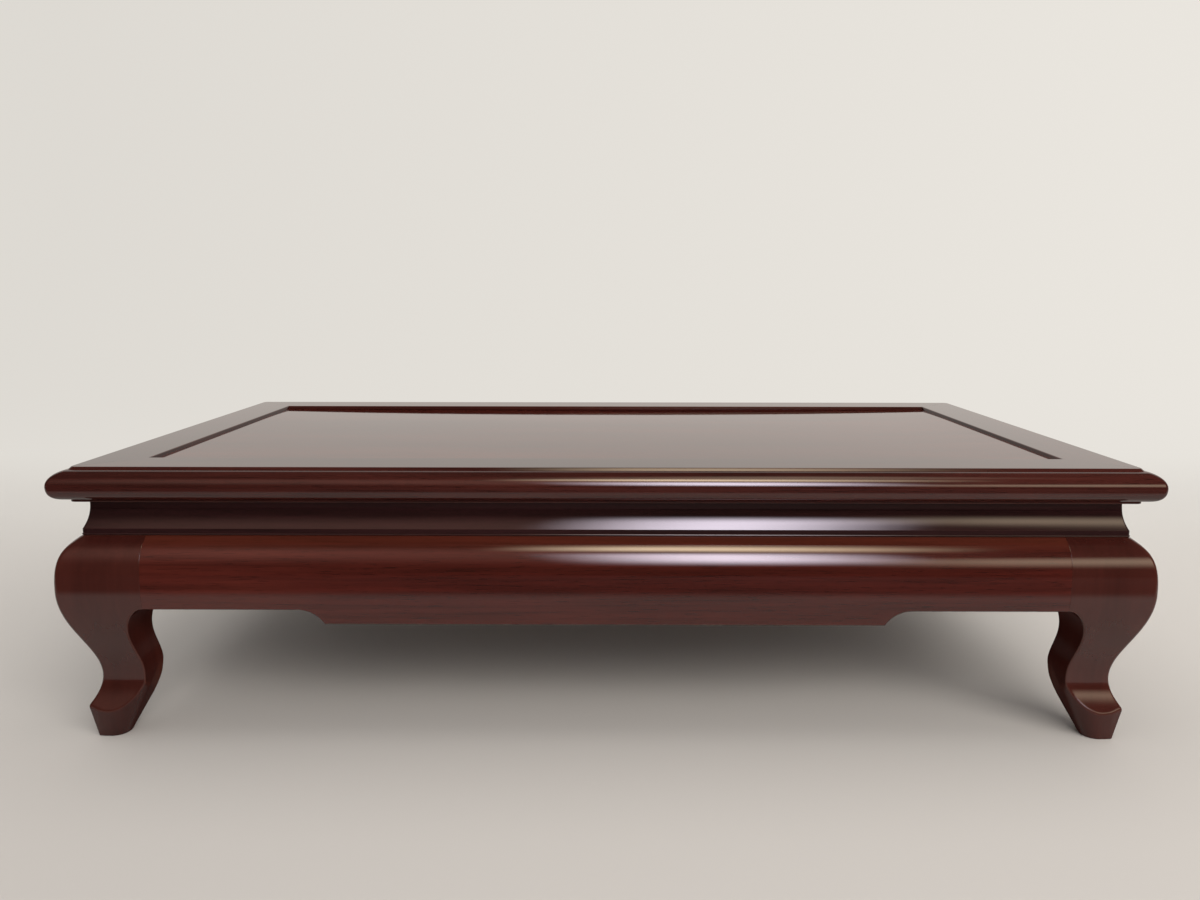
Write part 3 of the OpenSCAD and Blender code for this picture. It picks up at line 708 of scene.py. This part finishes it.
def legRings(s):
    # rows run down the leg: the outer corner goes down the knee, calf and instep while the
    # inner corners follow the inner line, and each row is a loop of four faces
    top, seam, ankle = stand["waistUnder"], sawn["seamHeight"], sawn["ankleHeight"]
    spine, lastRound, upper = innerLine[1:-1], sawn["roundSteps"] + 1, s["upperRows"]
    earRows = spine[:lastRound:2]
    calfRows = spine[lastRound::2]
    upperHeight = np.linspace(top - upper["below"], seam + upper["above"], upper["count"])
    outerHeight = np.concatenate((top - sawn["topEdge"] * tight, upperHeight, [seam + upper["last"]],
                                  np.linspace(seam, s["calfFrom"], len(earRows)),
                                  np.linspace(s["calfFrom"], ankle, len(calfRows) + 1)[1:],
                                  np.linspace(ankle, 1, s["footRows"])[1:], s["sole"] * tight[::-1]))
    innerHeight = outerHeight.copy()
    innerInset = np.full(len(outerHeight), sawn["legWidth"])
    begin = len(tight) + upper["count"] + 1
    innerHeight[begin:begin + len(earRows)] = earRows[:, 1]
    innerInset[begin:begin + len(earRows)] = earRows[:, 0]
    begin += len(earRows)
    innerHeight[begin:begin + len(calfRows)] = calfRows[:, 1]
    innerInset[begin:begin + len(calfRows)] = calfRows[:, 0]
    innerInset[begin + len(calfRows):] = sawn["ankleInner"]

    outerArris = np.interp(outerHeight, s["arrisHeights"], s["arris"])
    belowSeam = seam - innerHeight
    sideEase = np.interp(belowSeam, s["sideEase"], (sawn["seamEdge"], sawn["edge"]))
    outer, inner = outerInset(outerHeight), innerInset
    width = inner - outer

    def spread(fromEase, toEase, length):
        # places across a face: close together in both arrises, even between
        first = fromEase[:, None] * tight
        last = length[:, None] - toEase[:, None] * tight[::-1]
        middle = np.linspace(0, 1, s["faceColumns"])[1:-1]
        even = first[:, -1:] + (last[:, :1] - first[:, -1:]) * middle
        return np.concatenate((first, even, last), 1)[:, :-1] / length[:, None]

    acrossFront = spread(outerArris, sideEase, width)
    heightFront = outerHeight[:, None] + (innerHeight - outerHeight)[:, None] * acrossFront
    xFront = outer[:, None] + width[:, None] * acrossFront
    yFront = outerInset(heightFront)
    depth = inner - outerInset(innerHeight)
    acrossInner = spread(sideEase, np.full(len(depth), s["innerArris"]), depth)
    yInner = outerInset(innerHeight)[:, None] + depth[:, None] * acrossInner
    xInner = np.broadcast_to(inner[:, None], yInner.shape)
    zInner = np.broadcast_to(innerHeight[:, None], yInner.shape)
    half = np.stack((np.concatenate((xFront, xInner), 1), np.concatenate((yFront, yInner), 1),
                     np.concatenate((heightFront, zInner), 1)), -1)
    corner = np.stack((inner, inner, innerHeight), -1)[:, None]
    other = half[:, 1:][:, ::-1][..., (1, 0, 2)]
    grid = np.concatenate((half, corner, other), 1)

    middle = np.interp(outerHeight, *s["centres"])
    lift = np.interp(outerHeight, (*s["liftHeights"], seam, seam + s["liftPast"]), s["lift"])
    centreHeight = np.where(innerHeight >= seam + 0.1, outerHeight, np.maximum(outerHeight, innerHeight) + lift)
    centres = np.broadcast_to(np.stack((middle, middle, centreHeight), -1)[:, None], grid.shape)
    outside, sharpness = legField(s)
    rings = drawnIn(grid, centres, outside)
    worn = wornShare(sharpness(rings))
    # the post behind the waist: the leg's top loop, drawn out to a square with chamfered ends
    post, low, high = stand["coreInset"], sawn["legWidth"] - s["postGap"], stand["railUnder"]
    square = (rings[0] - (sawn["legWidth"], sawn["legWidth"], 0)) * np.array((1, 1, 0))
    square = low + square * (low - post) / -square[:, :2].min()
    square = np.clip(square, post, low)
    postRings = np.stack((square + (0, 0, 1) * (high - square), square + (0, 0, 1) * (top - square)))
    return rings, worn, postRings


legShape, legWorn, legPost = legRings(leg)
rings = np.concatenate((legPost, legShape))
worn = np.concatenate((np.zeros(legPost.shape[:2]), legWorn))
legCorners = {"front_left": (1, 1), "front_right": (-1, 1), "back_right": (-1, -1), "back_left": (1, -1)}
for corner, (right, back) in legCorners.items():
    placed = (rings - (stand["width"] / 2, stand["depth"] / 2, 0)) * (right, back, 1)
    ringMesh(f"leg_{corner}", placed, worn, f"leg_{corner}", lacquered["leg", "z"],
             (legInward * right, legInward * back, 0))
print("legs made")


# inner wood and screws
plainWood = rosewood | {"dark": (0.16, 0.085, 0.04), "body": (0.27, 0.16, 0.08),
                        "light": (0.36, 0.23, 0.125), "rubbed": (0.42, 0.29, 0.17), "lacquer": 0.0,
                        "under": 0.35, "rough": 0.62, "pores": 0.6, "shift": (0.2, 0.3, 0.9)}
innerWood = {grain: woodMaterial(f"innerWood{grain.upper()}", grain, plainWood) for grain in ("x", "y")}
zinc = {"scale": 900, "detail": 4, "tones": ((0.35, (0.42, 0.41, 0.36)), (0.65, (0.66, 0.64, 0.56))),
        "rough": ((0.3, 0.28), (0.7, 0.45))}


def zincMaterial(look):
    material = bpy.data.materials.new("zincSteel")
    tree = emptyTree(material)
    place = node(tree, "TexCoord").outputs["Object"]
    spots = node(tree, "TexNoise", {"Vector": place, "Scale": look["scale"],
                                    "Detail": look["detail"]}).outputs["Fac"]
    shade = node(tree, "BsdfPrincipled", {"Base Color": ramp(tree, spots, look["tones"]), "Metallic": 1.0})
    tree.links.new(greyRamp(tree, spots, look["rough"]), shade.inputs["Roughness"])
    endTree(tree, shade.outputs[0])
    return material


# how far the edges of each kind of piece are eased, and how
innerEase = {"glue_block": 0.5, "panel_batten": 0.6, "mitre_tongue": 0.2, "block_screws": 0.08}
easing = {"weld": 0.01, "segments": 2, "sharpest": 40}


def finishNode(name, material, ease):
    carried = frame["nodes"][name]
    carried.data.materials.clear()
    carried.data.materials.append(material)
    weld = carried.modifiers.new("weld", "WELD")
    weld.merge_threshold = easing["weld"] * millimetre
    bevel = carried.modifiers.new("ease", "BEVEL")
    bevel.width, bevel.segments = ease * millimetre, easing["segments"]
    bevel.limit_method, bevel.angle_limit = "ANGLE", math.radians(easing["sharpest"])


zincSteel = zincMaterial(zinc)
for name in frame["nodes"]:
    for kind, ease in innerEase.items():
        if name.startswith(kind):
            frontToBack = kind == "panel_batten" or name in ("glue_block_left", "glue_block_right")
            wood = innerWood["y" if frontToBack else "x"]
            finishNode(name, zincSteel if kind == "block_screws" else wood, ease)
print("inner pieces finished")


# floor, backdrop, light and camera
room = {"front": -5.0, "half": 6.0, "bend": 1.25, "bendRadius": 0.7, "wall": 2.6,
        "floorColour": (0.585, 0.553, 0.512), "wallColour": (0.765, 0.735, 0.685),
        "mirroredWall": (0.745, 0.685, 0.632), "bendSteps": 16, "floorRows": (-1, 0, 0.6),
        "toneFrom": -0.3, "toneTo": 0.4, "glowStart": 0.15, "glowEnd": 0.85, "aside": 1.4,
        "paintedSideLight": ((0.0, 0.95), (1.0, 1.07)), "rough": 0.85, "gloss": 0.2,
        "dimReflectionStart": -0.34, "dimReflectionEnd": -0.49, "dimReflectionColour": (0.10, 0.048, 0.038)}


def sweepMesh(s):
    # floor and back in one sheet: level, a quarter circle upwards, then upright
    angle = np.radians(np.linspace(0, 90, s["bendSteps"] + 1))
    y = np.concatenate(([s["front"], *s["floorRows"]], s["bend"] + s["bendRadius"] * np.sin(angle),
                        [s["bend"] + s["bendRadius"]]))
    level = np.zeros(len(s["floorRows"]) + 1)
    z = np.concatenate((level, s["bendRadius"] * (1 - np.cos(angle)), [s["wall"]]))
    x = np.array((-s["half"], s["half"]))
    points = np.stack(np.broadcast_arrays(x[None, :], y[:, None], z[:, None]), -1).reshape(-1, 3)
    row = np.arange(len(y) - 1)[:, None] * 2
    quads = np.concatenate((row, row + 1, row + 3, row + 2), 1)
    mesh = bpy.data.meshes.new("sweep")
    mesh.from_pydata(points.tolist(), [], quads.tolist())
    mesh.polygons.foreach_set("use_smooth", np.ones(len(mesh.polygons), bool))
    sweep = addToScene("sweep", mesh)
    material = bpy.data.materials.new("paleSweep")
    tree = emptyTree(material)
    place = node(tree, "TexCoord").outputs["Object"]
    place = node(tree, "SeparateXYZ", {0: place})
    far = place.outputs["Y"]
    share = between(tree, far, s["toneFrom"], s["toneTo"])
    cloth = mix(tree, "MIX", share, (*s["floorColour"], 1), (*s["wallColour"], 1))
    # painted reflection: only in the lacquer, the floor from a little way in front of the stand is painted a
    # dim colour, while the camera sees it pale
    near = between(tree, far, s["dimReflectionEnd"], s["dimReflectionStart"], shape="SMOOTHSTEP")
    mirrored = mix(tree, "MIX", near, (*s["dimReflectionColour"], 1), cloth)
    path = node(tree, "LightPath")
    camera, glossy = path.outputs["Is Camera Ray"], path.outputs["Is Glossy Ray"]
    cloth = mix(tree, "MIX", glossy, cloth, mirrored)
    shade = node(tree, "BsdfPrincipled", {"Base Color": cloth, "Roughness": s["rough"],
                                          "Specular IOR Level": s["gloss"]})
    # to the camera the back is a pale cloth, whatever the lamps; in the lacquer it shows as a
    # painted reflection, a little darker and warmer
    tone = mix(tree, "MIX", glossy, (*s["wallColour"], 1), (*s["mirroredWall"], 1))
    # painted light: the back is painted darker towards the left and brighter towards the right
    across = between(tree, place.outputs["X"], -s["aside"], s["aside"])
    tone = mix(tree, "MULTIPLY", 1.0, tone, greyRamp(tree, across, s["paintedSideLight"]))
    glow = node(tree, "Emission", {"Color": tone, "Strength": 1.0})
    seen = node(tree, "Math", {0: camera, 1: glossy}, operation="MAXIMUM", use_clamp=True).outputs[0]
    high = between(tree, far, s["glowStart"], s["glowEnd"], shape="SMOOTHSTEP")
    endTree(tree, mixShader(tree, product(tree, seen, high), shade.outputs[0], glow.outputs[0]))
    mesh.materials.append(material)


sweepMesh(room)

# what lights the stand, what its lacquer mirrors and what the camera sees past the back
surroundings = {"ambient": ((0.97, 0.97, 1.0, 1), 0.50), "dim": ((1.0, 0.60, 0.46, 1), 0.10),
                "pale": ((0.80, 0.78, 0.75, 1), 0.9)}
world = bpy.data.worlds.new("world")
bpy.context.scene.world = world
tree = emptyTree(world)
path = node(tree, "LightPath")
ambient, dim, pale = (node(tree, "Background", {"Color": colour, "Strength": strength}).outputs[0]
                      for colour, strength in surroundings.values())
lit = mixShader(tree, path.outputs["Is Glossy Ray"], ambient, dim)
endTree(tree, mixShader(tree, path.outputs["Is Camera Ray"], lit, pale), "World")

# azimuth from straight in front of the stand towards its right, elevation above the floor;
# soft edges (left, right, low, high) are shares of a lamp's width and height over which it
# fades out. The lacquer mirrors the five lamps that have them, and the other two light the
# wood's own colour at a plain level
lamps = {
    "window": {"azimuth": 9.9, "elevation": 31, "away": 2.6, "width": 1.32, "height": 2.0, "radiance": 19.5,
               "colour": (0.95, 0.86, 1.0), "soft": (0.5, 0.5, 0.45, 0.40)},
    "warm": {"azimuth": 18.6, "elevation": 60.6, "away": 2.4, "width": 1.6, "height": 1.25, "radiance": 15.0,
             "colour": (1.0, 0.79, 0.54), "turn": -20, "soft": (0.38, 0.55, 0.5, 0.5)},
    "glow": {"azimuth": -6, "elevation": 40, "away": 2.8, "width": 4.6, "height": 3.4, "radiance": 0.85,
             "colour": (1.0, 0.54, 0.43), "soft": (0.3, 0.5, 0.5, 0.4)},
    "side": {"azimuth": 38, "elevation": 20, "away": 3.0, "width": 2.6, "height": 1.5, "radiance": 3.7,
             "colour": (1.0, 0.78, 0.56), "soft": (0.35, 0.3, 0.5, 0.5)},
    "high": {"azimuth": 50, "elevation": 76, "away": 2.4, "width": 1.9, "height": 1.5, "radiance": 2.6,
             "colour": (1.0, 0.78, 0.58), "soft": (0.5, 0.4, 0.5, 0.5)},
    "front": {"azimuth": 28, "elevation": 30, "away": 1.8, "width": 1.7, "height": 0.7, "radiance": 6.4,
              "colour": (1.0, 0.97, 0.94)},
    "above": {"azimuth": 180, "elevation": 84, "away": 2.4, "width": 3.4, "height": 2.2, "radiance": 0.85,
              "colour": (1.0, 0.98, 0.95)},
}
target = np.array((0.0, -0.10, 0.10))


def softEdges(light, left, right, low, high):
    # brightness rises smoothly from the lamp's four edges
    tree = emptyTree(light)
    place = node(tree, "NewGeometry").outputs["Parametric"]
    place = node(tree, "SeparateXYZ", {0: place})
    rises = [between(tree, place.outputs[axis], start, start + width, shape="SMOOTHSTEP")
             for axis, start, width in (("X", 0, left), ("X", 1, -right), ("Y", 0, low), ("Y", 1, -high))]
    strength = rises[0]
    for rise in rises[1:]:
        strength = product(tree, strength, rise)
    glow = node(tree, "Emission", {"Color": (1, 1, 1, 1), "Strength": strength})
    endTree(tree, glow.outputs[0], "Light")


for name, lamp in lamps.items():
    light = bpy.data.lights.new(name, "AREA")
    light.shape, light.size, light.size_y = "RECTANGLE", lamp["width"], lamp["height"]
    light.energy = lamp["radiance"] * math.pi * lamp["width"] * lamp["height"]
    light.color = lamp["colour"]
    carrier = addToScene(name, light)
    azimuth, elevation = math.radians(lamp["azimuth"]), math.radians(lamp["elevation"])
    level = math.cos(elevation)
    towards = np.array((math.sin(azimuth) * level, -math.cos(azimuth) * level, math.sin(elevation)))
    carrier.location = target + towards * lamp["away"]
    facing = Euler((math.radians(90) - elevation, 0, azimuth)).to_matrix()
    turn = Matrix.Rotation(math.radians(lamp.get("turn", 0)), 3, "Z")
    carrier.rotation_euler = (facing @ turn).to_euler()
    mirrored = "soft" in lamp
    carrier.visible_camera = False
    carrier.visible_glossy = mirrored
    carrier.visible_diffuse = not mirrored
    if mirrored:
        softEdges(light, *lamp["soft"])

view = {"place": (0.0004, -0.676, 0.2541), "pitch": 9.41, "yaw": 0.33, "roll": -0.05, "lens": 29.13,
        "sensor": 36}
cameraData = bpy.data.cameras.new("camera")
cameraData.lens, cameraData.sensor_width, cameraData.sensor_fit = view["lens"], view["sensor"], "HORIZONTAL"
camera = addToScene("camera", cameraData)
camera.location = view["place"]
camera.rotation_euler = [math.radians(angle) for angle in (90 - view["pitch"], view["roll"], view["yaw"])]
bpy.context.scene.camera = camera
bpy.context.scene.view_settings.view_transform = "Standard"
print("room, light and camera set")
